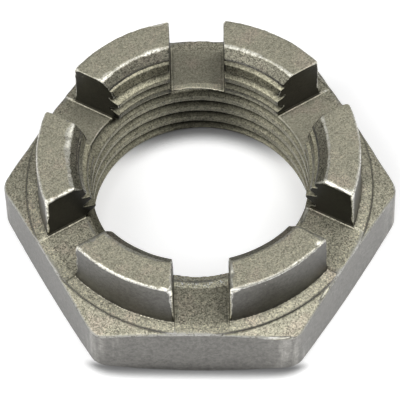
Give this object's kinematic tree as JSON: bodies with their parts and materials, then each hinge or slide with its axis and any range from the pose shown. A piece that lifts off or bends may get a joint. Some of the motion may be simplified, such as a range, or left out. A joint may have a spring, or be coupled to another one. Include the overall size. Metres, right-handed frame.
{
  "type": "castle nut",
  "caption": "Thin hexagonal castle nut with a slotted crown, fine metric thread and rounded forged corners, for an axle locked by a split pin.",
  "frame": {"origin": "middle of the bearing face, on the thread's axis", "axes": "+Z along the thread from the bearing face to the crown; two of the hexagon's flats square to Y; corners on +X and -X"},
  "size_m": [0.041, 0.036, 0.014],
  "materials": {
    "forged_steel": "shot-blasted forged steel, dull olive grey, bright on the worn edges"
  },
  "bodies": {
    "root": {"castle_nut": "forged_steel"}
  },
  "joints": []
}
